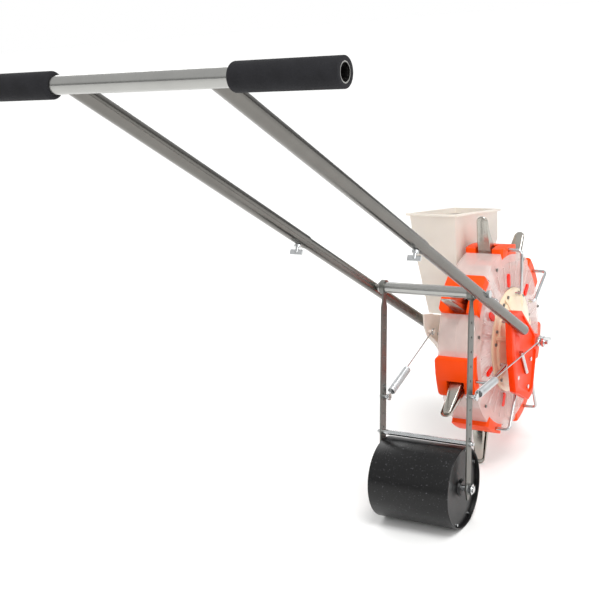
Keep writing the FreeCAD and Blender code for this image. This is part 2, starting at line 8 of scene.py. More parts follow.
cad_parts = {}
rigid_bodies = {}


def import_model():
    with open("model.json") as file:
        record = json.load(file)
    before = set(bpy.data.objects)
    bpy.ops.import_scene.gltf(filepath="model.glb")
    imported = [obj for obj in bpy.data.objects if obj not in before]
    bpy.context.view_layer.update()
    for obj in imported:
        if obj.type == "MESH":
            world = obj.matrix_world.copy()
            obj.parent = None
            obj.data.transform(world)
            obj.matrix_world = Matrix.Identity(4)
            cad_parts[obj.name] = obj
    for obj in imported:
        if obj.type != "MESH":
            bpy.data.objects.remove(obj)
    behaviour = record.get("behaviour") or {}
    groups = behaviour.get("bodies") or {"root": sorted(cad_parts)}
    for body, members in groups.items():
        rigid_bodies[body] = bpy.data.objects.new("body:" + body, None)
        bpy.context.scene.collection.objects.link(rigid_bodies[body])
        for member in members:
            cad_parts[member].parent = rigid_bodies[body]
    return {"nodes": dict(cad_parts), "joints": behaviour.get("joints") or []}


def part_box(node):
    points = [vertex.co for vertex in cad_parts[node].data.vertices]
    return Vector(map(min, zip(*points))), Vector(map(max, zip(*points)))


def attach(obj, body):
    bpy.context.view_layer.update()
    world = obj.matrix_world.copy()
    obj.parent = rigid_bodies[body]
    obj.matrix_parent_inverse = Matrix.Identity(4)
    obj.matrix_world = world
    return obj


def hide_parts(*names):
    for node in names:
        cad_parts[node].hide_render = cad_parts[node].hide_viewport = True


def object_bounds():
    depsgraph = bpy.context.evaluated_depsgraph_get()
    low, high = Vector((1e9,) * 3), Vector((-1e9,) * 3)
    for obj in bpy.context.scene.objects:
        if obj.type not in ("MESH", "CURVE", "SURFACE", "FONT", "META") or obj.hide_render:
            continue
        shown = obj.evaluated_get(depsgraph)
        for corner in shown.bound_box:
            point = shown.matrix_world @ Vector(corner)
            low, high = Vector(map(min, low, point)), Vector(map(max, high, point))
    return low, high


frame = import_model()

bl_info = {
    "name": "Drum Seeder Finish",
    "version": (1, 0, 0),
    "blender": (4, 5, 0),
    "location": "View3D > Sidebar > Seeder",
    "description": "Wound springs, pressed beaks, foam grips and finishes for a hand-pushed drum seeder",
    "category": "Object",
}

# Metres. +X is the direction of travel, +Y the machine's left, +Z up, as in the frame.
JOINTS = {joint["name"]: joint for joint in frame["joints"]}
AXLE = Vector(JOINTS["drum_spin"]["pos_m"])
SIDES = {"left": 1, "right": -1}
UNITS = range(1, 8)
CAD_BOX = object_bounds()

# One of the drum's units, laid along +X: a beak's pivot, outwards from the axle and along the rim,
# and the direction of the two beak tips, in degrees. HAIRLINE is what counts as the same place.
PIVOT_OUT, PIVOT_ALONG = 0.1965, 0.0055
TIP_DEGREES = 11.3
HAIRLINE = 1e-6


def linear(code):
    """An sRGB hex colour as the linear red, green and blue that shaders take."""
    parts = [int(code[k:k + 2], 16) / 255 for k in (0, 2, 4)]
    return tuple(c / 12.92 if c <= 0.04045 else ((c + 0.055) / 1.055) ** 2.4 for c in parts)


def length(name, default, words):
    return bpy.props.FloatProperty(name=name, description=words, default=default, min=0.0, unit="LENGTH",
                                   precision=4)


def colour(name, code, words):
    return bpy.props.FloatVectorProperty(name=name, description=words, default=linear(code), min=0.0, max=1.0,
                                         size=3, subtype="COLOR")


class SeederSizes(bpy.types.PropertyGroup):
    """Sizes of the pieces that are modelled here."""

    grip_edge: length("Grip edge", 0.005, "Rounding of a foam grip's inner end")
    spring_wire: length("Spring wire", 0.0018, "Diameter of the wire that the coils are wound from")
    coil_radius: length("Coil radius", 0.0080, "Outer radius of the coils")
    coil_eye: length("Coil eye", 0.0056, "Radius of the eye that a coil hangs by, at the middle of its wire")
    coil_gap: length("Coil gap", 0.0001, "Clear gap between two turns of a coil")
    hook_wire: length("Hook wire", 0.0032, "Diameter of the springs' long straight hooks")
    hook_offset: length("Hook offset", 0.0042, "How far a long hook runs beside the middle of its coil")
    lever_wire: length("Lever wire", 0.007, "Diameter of the bent beak levers")
    lever_bend: length("Lever bend", 0.009, "Bend radius of the beak levers")
    sheet: length("Beak sheet", 0.0016, "Thickness of the pressed beak sheet")
    sheet_corner: length("Beak corner", 0.0032, "Rounding where a beak's web turns into its flange")
    moulded_edge: length("Moulded edge", 0.0011, "Rounding of the moulded plastic's edges")
    roller_wall: length("Roller wall", 0.003, "Wall of the press roller's shell")


class SeederColours(bpy.types.PropertyGroup):
    """Colours of the finishes."""

    zinc: colour("Zinc", "CDCFD0", "Bright zinc plating on wires and nuts")
    # Tube and Cross tube are one zinc plating in two shades: the tube colour is darkened as painted shade,
    # and the cross tube colour is lightened as painted highlight.
    tube: colour("Tube", "73716D", "Zinc-plated handle tubes")
    cross_tube: colour("Cross tube", "ACACA9", "Brighter tubes that run crosswise")
    zinc_dull: colour("Dull zinc", "7C7C78", "Matt galvanised strip of the arms")
    stainless: colour("Stainless", "B3AFA7", "Pressed beak sheet, slightly warm")
    foam: colour("Foam", "17171A", "Foam grips")
    orange: colour("Orange", "FF4A00", "Mouth seats")
    bracket: colour("Bracket", "FF3C00", "Side brackets")
    cap: colour("Cap", "FF2200", "Seed caps")
    cover: colour("Cover", "F3E1DB", "Clear drum covers")
    cream: colour("Cream", "EBD7B8", "Domed hubs")
    hopper: colour("Hopper", "F0E7DC", "Milky hopper and feed neck")
    roller: colour("Roller", "0A0A0B", "Press roller")
    floor: colour("Floor", "F4F4F3", "Studio floor")


class SeederStudio(bpy.types.PropertyGroup):
    """The camera's place, its direction of view and its lens."""

    camera_at: bpy.props.FloatVectorProperty(name="Camera", description="Where the camera stands",
                                             default=(-1.7300, -0.8711, 1.0079), unit="LENGTH", subtype="XYZ")
    heading: bpy.props.FloatProperty(name="Heading", description="Direction of view from +X towards +Y",
                                     default=math.radians(32.2), subtype="ANGLE")
    tilt: bpy.props.FloatProperty(name="Tilt", description="Direction of view above the horizon",
                                  default=math.radians(-15.37), subtype="ANGLE")
    roll: bpy.props.FloatProperty(name="Roll", description="Turn of the camera about its own line of view",
                                  default=math.radians(-4.97), subtype="ANGLE")
    lens: bpy.props.FloatProperty(name="Lens", description="Focal length on a 36 mm sensor", default=65.53,
                                  subtype="DISTANCE_CAMERA")


# ---- hand tools ----------------------------------------------------------------

def sizes():
    return bpy.context.scene.seeder_sizes


def colours():
    return bpy.context.scene.seeder_colours


def leave_edit():
    if bpy.context.object and bpy.context.object.mode == "EDIT":
        bpy.ops.object.mode_set(mode="OBJECT")


def clear_selection():
    leave_edit()
    bpy.ops.object.select_all(action="DESELECT")


def pick_only(*pieces):
    """Selects these objects and makes the first one active."""
    clear_selection()
    for piece in pieces:
        piece.select_set(True)
    bpy.context.view_layer.objects.active = pieces[0]


def edit_all():
    bpy.ops.object.mode_set(mode="EDIT")
    bpy.ops.mesh.select_all(action="SELECT")


def pick(kind, test):
    """In edit mode, selects only the vertices, edges or faces whose place passes the test."""
    piece = bpy.context.object
    bpy.ops.mesh.select_mode(type={"verts": "VERT", "edges": "EDGE", "faces": "FACE"}[kind])
    bpy.ops.mesh.select_all(action="DESELECT")
    shape = bmesh.from_edit_mesh(piece.data)
    for part in getattr(shape, kind):
        part.select_set(test(part))
    shape.select_flush_mode()
    bmesh.update_edit_mesh(piece.data)


def centre(part):
    """The middle of an edge or face, in its object's own coordinates."""
    spots = [vert.co for vert in part.verts]
    return sum(spots, Vector()) / len(spots)


def apply_modifier(kind, **settings):
    piece = bpy.context.object
    tool = piece.modifiers.new(kind.title(), kind)
    for key, value in settings.items():
        setattr(tool, key, value)
    bpy.ops.object.modifier_apply(modifier=tool.name)


def settle(name, smooth=35.0):
    """Names the active object, puts its place into its mesh and smooths its shallow edges."""
    leave_edit()
    piece = bpy.context.object
    pick_only(piece)
    piece.name = name
    bpy.ops.object.transform_apply(location=True, rotation=True, scale=True)
    bpy.ops.object.shade_smooth_by_angle(angle=math.radians(smooth))
    return piece


def finish_piece(piece, body, slot, material, *nodes):
    """Gives a piece its finish and body and hides the CAD nodes that it replaces; without a material it keeps
    its own two. The slot is not used.
    """
    if material:
        piece.data.materials.clear()
        piece.data.materials.append(material)
    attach(piece, body)
    if nodes:
        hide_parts(*nodes)


def joined(*pieces):
    pick_only(*pieces)
    bpy.ops.object.join()
    return bpy.context.object


def copy_of(piece, name):
    pick_only(piece)
    bpy.ops.object.duplicate()
    twin = bpy.context.object
    twin.name = name
    return twin


def turned_copy(piece, name, angle, about):
    """A copy with its own mesh, turned from +X towards +Z about a Y line."""
    twin = copy_of(piece, name)
    bpy.ops.transform.rotate(value=angle, orient_axis="Y", center_override=about)
    bpy.ops.object.transform_apply(location=True, rotation=True, scale=True)
    return twin


def mirrored_copy(piece, name):
    """A copy with its own mesh on the other side of the machine's middle plane."""
    twin = copy_of(piece, name)
    bpy.ops.transform.mirror(orient_type="GLOBAL", constraint_axis=(False, True, False),
                             center_override=(0, 0, 0))
    bpy.ops.object.transform_apply(location=True, rotation=True, scale=True)
    edit_all()
    bpy.ops.mesh.normals_make_consistent(inside=False)
    leave_edit()
    return twin


def softened(node, name, edge):
    """A merged copy of a moulded node with its sharp edges rounded off."""
    pick_only(frame["nodes"][node])
    bpy.ops.object.duplicate()
    piece = bpy.context.object
    bpy.ops.object.parent_clear(type="CLEAR_KEEP_TRANSFORM")
    for key in [key for key in piece.keys() if key.startswith("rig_")]:
        del piece[key]
    edit_all()
    bpy.ops.mesh.customdata_custom_splitnormals_clear()
    bpy.ops.mesh.remove_doubles(threshold=HAIRLINE)
    bpy.ops.mesh.dissolve_limited(angle_limit=math.radians(0.5))
    leave_edit()
    apply_modifier("BEVEL", width=edge, segments=2, limit_method="ANGLE", angle_limit=math.radians(40),
                   use_clamp_overlap=True)
    return settle(name)


def wire_start(point, heading, diameter, sides=14):
    """The open first ring of a round wire, square to its heading, left selected in edit mode."""
    clear_selection()
    bpy.ops.mesh.primitive_circle_add(vertices=sides, radius=diameter / 2, fill_type="NOTHING",
                                      location=point, rotation=heading.to_track_quat("Z", "Y").to_euler())
    edit_all()


def wire_run(step):
    bpy.ops.mesh.extrude_region_move(TRANSFORM_OT_translate={"value": step})


def wire_bend(about, axis, angle, steps=10):
    """Bends the wire about a point; a positive angle turns right-handed about the axis."""
    bpy.ops.mesh.spin(steps=steps, angle=-angle, center=about, axis=axis)


def wire_end():
    """Closes both ends of the wire and faces everything outwards."""
    bpy.ops.mesh.select_all(action="SELECT")
    bpy.ops.mesh.fill_holes(sides=0)
    bpy.ops.mesh.normals_make_consistent(inside=False)
    leave_edit()
    return bpy.context.object


def at_unit(out, along, across):
    """A point of the unit that is laid along +X: outwards, along the rim towards +Z, and across."""
    return AXLE + Vector((out, across, along))


def unit_angle(number):
    """How far a unit is turned from +X towards +Z, by its beak's pivot."""
    place = Vector(JOINTS["jaw_%d_open" % number]["pos_m"]) - AXLE
    return math.atan2(place.z, place.x) - math.atan2(PIVOT_ALONG, PIVOT_OUT)


# ---- finishes --------------------------------------------------------------------

def add(tree, kind, inputs=None, **settings):
    """Adds one node; each input takes a value or another node's output."""
    item = tree.nodes.new(kind)
    for key, value in settings.items():
        setattr(item, key, value)
    for key, value in (inputs or {}).items():
        if isinstance(value, bpy.types.NodeSocket):
            tree.links.new(value, item.inputs[key])
        else:
            item.inputs[key].default_value = value
    return item


def shader(name, base, rough, **values):
    """A new material with one principled shader; values are the sockets that stay constant."""
    material = bpy.data.materials.new(name)
    material.use_nodes = True
    tree = material.node_tree
    tree.nodes.clear()
    skin = add(tree, "ShaderNodeBsdfPrincipled", {"Base Color": (*base, 1.0), "Roughness": rough})
    for key, value in values.items():
        skin.inputs[key.replace("_", " ")].default_value = value
    add(tree, "ShaderNodeOutputMaterial", {"Surface": skin.outputs[0]})
    return material, tree, skin


def shade_of(base, factor):
    return tuple(min(1.0, c * factor) for c in base) + (1.0,)


def tint(tree, skin, factor, base, dark, light):
    """Colours a skin between a darker and a lighter shade of its base."""
    mix = add(tree, "ShaderNodeMix",
              {"Factor": factor, "A": shade_of(base, dark), "B": shade_of(base, light)}, data_type="RGBA")
    mixed = next(out for out in mix.outputs if out.type == "RGBA" and out.enabled)
    tree.links.new(mixed, skin.inputs["Base Color"])


def relief(tree, skin, height, strength, distance, **over):
    """Raises a skin's surface by a pattern; distance is the pattern's depth in metres."""
    bump = add(tree, "ShaderNodeBump", {"Height": height, "Strength": strength, "Distance": distance, **over})
    tree.links.new(bump.outputs[0], skin.inputs["Normal"])


def gloss(tree, skin, pattern, smooth, rough):
    """Varies a skin's roughness with a noise pattern, whose values lie about its middle."""
    spread = add(tree, "ShaderNodeMapRange", {"Value": pattern, "From Min": 0.3, "From Max": 0.7,
                                              "To Min": smooth, "To Max": rough})
    tree.links.new(spread.outputs[0], skin.inputs["Roughness"])


def zinc_tube(name, base, lie):
    """Zinc-plated drawn steel tube: bright, with long draw lines and faint cloudy bands.
    lie turns the draw lines into the tube's direction."""
    material, tree, skin = shader(name, base, 0.22, Metallic=1.0)
    place = add(tree, "ShaderNodeTexCoord").outputs["Object"]
    along = add(tree, "ShaderNodeMapping", {"Vector": place, "Rotation": lie, "Scale": (6.0, 500.0, 500.0)})
    lines = add(tree, "ShaderNodeTexNoise", {"Vector": along.outputs[0], "Scale": 1.0, "Detail": 3.0})
    clouds = add(tree, "ShaderNodeTexNoise", {"Vector": place, "Scale": 28.0, "Detail": 2.0})
    tint(tree, skin, clouds.outputs[0], base, 0.9, 1.1)
    gloss(tree, skin, lines.outputs[0], 0.19, 0.26)
    relief(tree, skin, lines.outputs[0], 0.02, 0.00005)
    return material


def plated(name, base, low, high, grain):
    """Plated or pressed steel: metallic, with patchy gloss; grain is the patch size in millimetres."""
    material, tree, skin = shader(name, base, low, Metallic=1.0)
    place = add(tree, "ShaderNodeTexCoord").outputs["Object"]
    patches = add(tree, "ShaderNodeTexNoise", {"Vector": place, "Scale": 1000.0 / grain, "Detail": 1.5})
    tint(tree, skin, patches.outputs[0], base, 0.88, 1.1)
    gloss(tree, skin, patches.outputs[0], low, high)
    relief(tree, skin, patches.outputs[0], 0.02, 0.00005)
    return material


def moulded(name, base, rough, grain, bump_by, **values):
    """Moulded plastic: an even colour with slight flow shading and a fine moulded skin."""
    material, tree, skin = shader(name, base, rough, **values)
    place = add(tree, "ShaderNodeTexCoord").outputs["Object"]
    flow = add(tree, "ShaderNodeTexNoise", {"Vector": place, "Scale": 14.0, "Detail": 2.0})
    fine = add(tree, "ShaderNodeTexNoise", {"Vector": place, "Scale": 1000.0 / grain, "Detail": 2.0})
    tint(tree, skin, flow.outputs[0], base, 0.9, 1.06)
    gloss(tree, skin, flow.outputs[0], rough * 0.85, rough * 1.15)
    relief(tree, skin, fine.outputs[0], bump_by, 0.0004)
    return material


def foam_skin():
    """Closed-cell foam rubber: matt black, cells of about 0.8 mm drawn at 1.6 mm so that they show."""
    base = tuple(colours().foam)
    material, tree, skin = shader("foam_rubber", base, 0.85, Specular_IOR_Level=0.3)
    place = add(tree, "ShaderNodeTexCoord").outputs["Object"]
    cells = add(tree, "ShaderNodeTexVoronoi", {"Vector": place, "Scale": 620.0})
    dust = add(tree, "ShaderNodeTexNoise", {"Vector": place, "Scale": 45.0, "Detail": 5.0})
    tint(tree, skin, dust.outputs[0], base, 0.6, 2.1)
    relief(tree, skin, cells.outputs["Distance"], 0.5, 0.0006)
    return material


def roller_skin():
    """Blow-moulded black polyethylene: semi-gloss, with fine rings from rolling and a little dry dust."""
    base = tuple(colours().roller)
    material, tree, skin = shader("black_polyethylene", base, 0.36, Specular_IOR_Level=0.35)
    place = add(tree, "ShaderNodeTexCoord").outputs["Object"]
    rings = add(tree, "ShaderNodeMapping", {"Vector": place, "Scale": (12.0, 700.0, 12.0)})
    scuffs = add(tree, "ShaderNodeTexNoise", {"Vector": rings.outputs[0], "Scale": 1.0, "Detail": 4.0})
    dust = add(tree, "ShaderNodeTexNoise", {"Vector": place, "Scale": 260.0, "Detail": 3.0, "Roughness": 0.7})
    worn = add(tree, "ShaderNodeMapRange", {"Value": dust.outputs[0], "From Min": 0.62, "From Max": 0.74})
    tint(tree, skin, worn.outputs[0], base, 1.0, 40.0)
    gloss(tree, skin, scuffs.outputs[0], 0.27, 0.36)
    relief(tree, skin, scuffs.outputs[0], 0.03, 0.0003)
    return material


def clear_cover():
    """Clear polycarbonate, a little smoky: see-through with a soft haze, faint ripples and fine moulded rays.
    The rays stand about 9 mm apart at the rim, between the hub and the edge of the flat face."""
    base = tuple(colours().cover)
    material, tree, skin = shader("smoky_polycarbonate", base, 0.12, IOR=1.585, Alpha=0.42)
    place = add(tree, "ShaderNodeTexCoord").outputs["Object"]
    ripples = add(tree, "ShaderNodeTexNoise", {"Vector": place, "Scale": 26.0, "Detail": 2.0})
    from_axle = add(tree, "ShaderNodeMapping", {"Vector": place, "Location": tuple(-AXLE)})
    parts = add(tree, "ShaderNodeSeparateXYZ", {"Vector": from_axle.outputs[0]})
    angle = add(tree, "ShaderNodeMath", {0: parts.outputs["Z"], 1: parts.outputs["X"]}, operation="ARCTAN2")
    many = add(tree, "ShaderNodeMath", {0: angle.outputs[0], 1: 126.0}, operation="MULTIPLY")
    waves = add(tree, "ShaderNodeMath", {0: many.outputs[0]}, operation="SINE")
    side = add(tree, "ShaderNodeMath", {0: parts.outputs["Y"]}, operation="ABSOLUTE")
    flat_face = add(tree, "ShaderNodeMapRange",
                    {"Value": side.outputs[0], "From Min": 0.043, "From Max": 0.046})
    rays = add(tree, "ShaderNodeMath", {0: waves.outputs[0], 1: flat_face.outputs[0]}, operation="MULTIPLY")
    gloss(tree, skin, ripples.outputs[0], 0.1, 0.24)
    tint(tree, skin, ripples.outputs[0], base, 0.8, 1.1)
    flat = add(tree, "ShaderNodeBump", {"Height": ripples.outputs[0], "Strength": 0.12, "Distance": 0.001})
    relief(tree, skin, rays.outputs[0], 0.35, 0.0008, Normal=flat.outputs[0])
    return material


FINISHES = {}


def finishes():
    """Makes every finish once and keeps it by name."""
    if not FINISHES:
        tone = colours()
        slope = math.atan2(0.5249, 0.8512)
        FINISHES.update({
            # One zinc plating in two shades: darker on the sloping tubes as painted shade, lighter on the
            # crosswise tubes as painted highlight.
            "sloping tube": zinc_tube("zinc_plated_tube_sloping", tuple(tone.tube), (0.0, slope, 0.0)),
            "cross tube": zinc_tube("zinc_plated_tube_crosswise", tuple(tone.cross_tube),
                                    (0.0, 0.0, math.pi / 2)),
            "zinc": plated("bright_zinc_plating", tuple(tone.zinc), 0.16, 0.24, 18.0),
            "strip": plated("dull_galvanised_strip", tuple(tone.zinc_dull), 0.38, 0.5, 16.0),
            "spring wire": plated("drawn_spring_wire", tuple(tone.zinc), 0.32, 0.42, 12.0),
            "stainless": plated("pressed_stainless_sheet", tuple(tone.stainless), 0.16, 0.26, 24.0),
            "foam": foam_skin(),
            "orange": moulded("orange_polypropylene", tuple(tone.orange), 0.38, 1.4, 0.08, IOR=1.49,
                              Specular_IOR_Level=0.2),
            "bracket": moulded("orange_red_nylon", tuple(tone.bracket), 0.36, 1.2, 0.06, IOR=1.53,
                               Specular_IOR_Level=0.15),
            "cap": moulded("red_polypropylene_cap", tuple(tone.cap), 0.36, 1.2, 0.06, IOR=1.49,
                           Specular_IOR_Level=0.12),
            "cream": moulded("glossy_cream_abs", tuple(tone.cream), 0.2, 2.0, 0.05, IOR=1.54,
                             Coat_Weight=0.35, Coat_Roughness=0.08),
            "hopper": moulded("milky_polypropylene", tuple(tone.hopper), 0.42, 1.6, 0.05, IOR=1.49,
                              Transmission_Weight=0.12, Subsurface_Weight=0.25,
                              Subsurface_Radius=(0.012, 0.010, 0.008)),
            "cover": clear_cover(),
            "roller": roller_skin(),
        })
    return FINISHES


def dress(finish, *nodes):
    """Gives kept nodes a finish."""
    for node in nodes:
        slots = frame["nodes"][node].data.materials
        slots.clear()
        slots.append(finishes()[finish])


# ---- pieces ------------------------------------------------------------------------

class SEEDER_OT_grips(bpy.types.Operator):
    """Foam grips: bored sleeves with a rounded inner end"""

    bl_idname = "seeder.grips"
    bl_label = "Foam grips"

    def execute(self, context):
        low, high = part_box("grip_right")
        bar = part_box("crossbar")
        radius, bore = (high.z - low.z) / 2, (bar[1].z - bar[0].z) / 2
        long = high.y - low.y
        clear_selection()
        bpy.ops.mesh.primitive_cylinder_add(vertices=72, radius=radius, depth=long, location=(low + high) / 2,
                                            rotation=(math.pi / 2, 0, 0))
        edit_all()
        pick("faces", lambda face: abs(face.normal.z) > 0.9)
        bpy.ops.mesh.inset(thickness=radius - bore - 0.00005)
        bpy.ops.mesh.delete(type="FACE")
        pick("edges", lambda edge: edge.is_boundary)
        bpy.ops.mesh.bridge_edge_loops()
        inner = lambda edge: (all(abs(v.co.xy.length - radius) < 1e-4 for v in edge.verts)
                              and abs(edge.verts[0].co.z - edge.verts[1].co.z) < HAIRLINE)
        pick("edges", lambda edge: inner(edge) and edge.verts[0].co.z < 0)
        bpy.ops.mesh.bevel(offset=sizes().grip_edge, segments=6, profile=0.5)
        pick("edges", lambda edge: inner(edge) and edge.verts[0].co.z > long / 2 - 1e-4)
        bpy.ops.mesh.bevel(offset=0.0016, segments=3, profile=0.5)
        edit_all()
        bpy.ops.mesh.normals_make_consistent(inside=False)
        right = settle("foam_grip_right")
        left = mirrored_copy(right, "foam_grip_left")
        finish_piece(right, "handle", "foam", finishes()["foam"], "grip_right")
        finish_piece(left, "handle", "foam", finishes()["foam"], "grip_left")
        return {"FINISHED"}


def spring_line(name):
    """A spring's pin, the point that it pulls on, its direction, and the side direction in its own plane."""
    pin = Vector(JOINTS["coil_%s_turn" % name]["pos_m"])
    pull = Vector(JOINTS["draw_%s_turn" % name]["pos_m"])
    along = (pull - pin).normalized()
    flat = Vector((along.x, 0, along.z)).normalized()
    return pin, pull, along, flat, Vector((-flat.z, 0, flat.x))


class SEEDER_OT_coils(bpy.types.Operator):
    """Close-wound arm springs with a hook round each pin"""

    bl_idname = "seeder.coils"
    bl_label = "Wound springs"

    def execute(self, context):
        wire = sizes().spring_wire
        mean, ring = sizes().coil_radius - wire / 2, sizes().coil_eye
        first, throat, bend = 0.018, 0.004, 0.0045
        for name in SIDES:
            pin, pull, along, flat, up = spring_line(name)
            clear_selection()
            bpy.ops.mesh.primitive_circle_add(vertices=8, radius=wire / 2, fill_type="NOTHING",
                                              location=(mean, 0, 0), rotation=(math.pi / 2, 0, 0))
            bpy.ops.object.transform_apply(location=True, rotation=True, scale=True)
            coil = context.object
            apply_modifier("SCREW", axis="Z", angle=math.tau, screw_offset=wire + sizes().coil_gap,
                           iterations=41, steps=22, render_steps=22, use_merge_vertices=False)
            edit_all()
            bpy.ops.mesh.fill_holes(sides=0)
            bpy.ops.mesh.normals_make_consistent(inside=False)
            leave_edit()
            coil.location = pin + along * first
            coil.rotation_euler = along.to_track_quat("Z", "Y").to_euler()
            bpy.ops.object.transform_apply(location=True, rotation=True, scale=True)
            reach = math.sqrt((ring + bend) ** 2 - bend ** 2)
            rim, middle = pin + along * first + up * mean, pin + along * (first - throat)
            turn_in = pin + flat * reach
            wire_start(rim, middle - rim, wire)
            wire_run(middle - rim)
            wire_run(turn_in - middle)
            wire_bend(turn_in + up * bend, (0, 1, 0), math.atan2(reach, bend), 6)
            wire_bend(pin, (0, 1, 0), -math.radians(300), 26)
            joined(coil, wire_end())
            piece = settle("wound_spring_" + name)
            finish_piece(piece, "coil_" + name, "zinc", finishes()["spring wire"], "spring_" + name)
        return {"FINISHED"}


class SEEDER_OT_hooks(bpy.types.Operator):
    """Long straight spring hooks, each with a ring round what it pulls on"""

    bl_idname = "seeder.hooks"
    bl_label = "Long hooks"

    def execute(self, context):
        wire, offset = sizes().hook_wire, sizes().hook_offset
        bend, inside, play = 0.006, 0.060, 0.0003
        cores = {"left": 0.004, "right": 0.006}
        for name, core in cores.items():
            pin, pull, along, flat, up = spring_line(name)
            ring = core + wire / 2 + play
            reach = math.sqrt((ring + bend) ** 2 - (offset + bend) ** 2)
            start = pin + along * inside + up * offset
            turn_in = pull - flat * reach + up * offset
            wire_start(start, along, wire)
            wire_run(turn_in - start)
            swing = math.pi / 2 - math.atan2(offset + bend, reach)
            wire_bend(turn_in + up * bend, (0, 1, 0), -swing, 6)
            wire_bend(pull, (0, 1, 0), math.radians(305), 28)
            wire_end()
            piece = settle("long_hook_" + name)
            finish_piece(piece, "draw_" + name, "zinc", finishes()["zinc"], "draw_wire_" + name)
        return {"FINISHED"}


def pressed_beak(name, start, end, base_half, tip_half, base_depth, tip_depth, opens):
    """A tongue of pressed sheet in the unit laid along +X: a flat web from start to end with a round tip,
    and a flange round it that opens towards +Z (opens = 1) or -Z (opens = -1) and gets lower to the tip."""
    run = Vector((end[0] - start[0], 0, end[1] - start[1]))
    long = run.length
    clear_selection()
    bpy.ops.mesh.primitive_plane_add(size=1, location=(long / 2, 0, 0))
    bpy.ops.transform.resize(value=(long, base_half * 2, 1))
    bpy.ops.object.transform_apply(location=True, rotation=True, scale=True)
    edit_all()
    pick("verts", lambda vert: vert.co.x > long / 2)
    bpy.ops.transform.resize(value=(1, tip_half / base_half, 1), center_override=(0, 0, 0))
    bpy.ops.mesh.bevel(offset=tip_half * 0.92, segments=8, affect="VERTICES", clamp_overlap=True)
    pick("edges", lambda edge: edge.is_boundary and centre(edge).x > 1e-5)
    bpy.ops.mesh.extrude_region_move(TRANSFORM_OT_translate={"value": (0, 0, base_depth)})
    pick("edges", lambda edge: not edge.is_boundary and centre(edge).z < HAIRLINE and centre(edge).x > 1e-5)
    bpy.ops.mesh.bevel(offset=sizes().sheet_corner, segments=3, profile=0.5)
    edit_all()
    bpy.ops.mesh.bisect(plane_co=(0, 0, base_depth), plane_no=(base_depth - tip_depth, 0, long),
                        clear_outer=True)
    edit_all()
    bpy.ops.mesh.remove_doubles(threshold=HAIRLINE)
    bpy.ops.mesh.normals_make_consistent(inside=False)
    leave_edit()
    piece = bpy.context.object
    facing = max(piece.data.polygons, key=lambda face: face.area)
    outward = facing.normal.z < 0
    apply_modifier("SOLIDIFY", thickness=sizes().sheet, offset=-1.0 if outward else 1.0, use_even_offset=True)
    apply_modifier("BEVEL", width=0.0005, segments=2, limit_method="ANGLE", angle_limit=math.radians(50))
    edit_all()
    bpy.ops.mesh.normals_make_consistent(inside=False)
    leave_edit()
    if opens < 0:
        bpy.ops.transform.rotate(value=math.pi, orient_axis="X", center_override=(0, 0, 0))
    bpy.ops.transform.rotate(value=math.atan2(run.z, run.x), orient_axis="Y", center_override=(0, 0, 0))
    bpy.ops.transform.translate(value=at_unit(start[0], start[1], 0))
    return settle(name)


def tip_at(radius, degrees):
    angle = math.radians(degrees)
    return radius * math.cos(angle), radius * math.sin(angle)


def share_round_drum(first, name, body, slot, material, node):
    """Turns the piece of the unit along +X into seven, one at each unit's own angle."""
    for number in UNITS:
        twin = turned_copy(first, name % number, unit_angle(number), AXLE)
        finish_piece(twin, body % number if "%" in body else body, slot, material, node % number)
    bpy.data.objects.remove(first)


class SEEDER_OT_fixed_beaks(bpy.types.Operator):
    """The seven trailing beak halves, pressed from sheet"""

    bl_idname = "seeder.fixed_beaks"
    bl_label = "Fixed beaks"

    def execute(self, context):
        first = pressed_beak("fixed_beak", (0.180, 0.0355), tip_at(0.277, TIP_DEGREES), 0.017, 0.0115,
                             0.015, 0.004, -1)
        share_round_drum(first, "fixed_beak_%d", "drum", "stainless", finishes()["stainless"], "fixed_jaw_%d")
        return {"FINISHED"}


class SEEDER_OT_moving_beaks(bpy.types.Operator):
    """The seven leading beak halves, each with its bent wire lever"""

    bl_idname = "seeder.moving_beaks"
    bl_label = "Moving beaks"

    def execute(self, context):
        out, along = PIVOT_OUT, PIVOT_ALONG
        tip_out, tip_along = tip_at(0.270, TIP_DEGREES)
        blade = pressed_beak("blade", (out + 0.001, along + 0.001), (tip_out, tip_along - 0.0044), 0.0144,
                             0.0086, 0.014, 0.0022, 1)
        wire, bend = sizes().lever_wire, sizes().lever_bend
        across, tail = -0.072, -0.059
        inner = Vector((0.1036, 0, 0.0096))
        outer = Vector((out, 0, along))
        leg = (inner - outer).normalized()
        swing_axis = Vector((0, -1, 0)).cross(leg)
        start = at_unit(out, along, 0.024)
        wire_start(start, Vector((0, -1, 0)), wire)
        corner = at_unit(out, along, across)
        wire_run(corner + Vector((0, bend, 0)) - start)
        wire_bend(corner + Vector((0, bend, 0)) + leg * bend, swing_axis, math.pi / 2)
        heel = at_unit(inner.x, inner.z, across)
        small = bend * 0.7
        wire_run(heel - leg * small - (corner + leg * bend))
        wire_bend(heel - leg * small + Vector((0, small, 0)), swing_axis, math.pi / 2)
        wire_run(Vector((0, tail - across - small, 0)))
        lever = wire_end()
        apply_modifier("BEVEL", width=0.0008, segments=2, limit_method="ANGLE", angle_limit=math.radians(60))
        blade.data.materials.append(finishes()["stainless"])
        lever.data.materials.append(finishes()["zinc"])
        joined(blade, lever)
        first = settle("moving_beak")
        share_round_drum(first, "moving_beak_%d", "jaw_%d", "stainless", None, "moving_jaw_%d")
        return {"FINISHED"}


class SEEDER_OT_seats(bpy.types.Operator):
    """The seven orange mouth seats with rounded moulded edges"""

    bl_idname = "seeder.seats"
    bl_label = "Mouth seats"

    def execute(self, context):
        for number in UNITS:
            piece = softened("seat_%d" % number, "mouth_seat_%d" % number, sizes().moulded_edge)
            finish_piece(piece, "drum", "orange", finishes()["orange"], "seat_%d" % number)
        return {"FINISHED"}


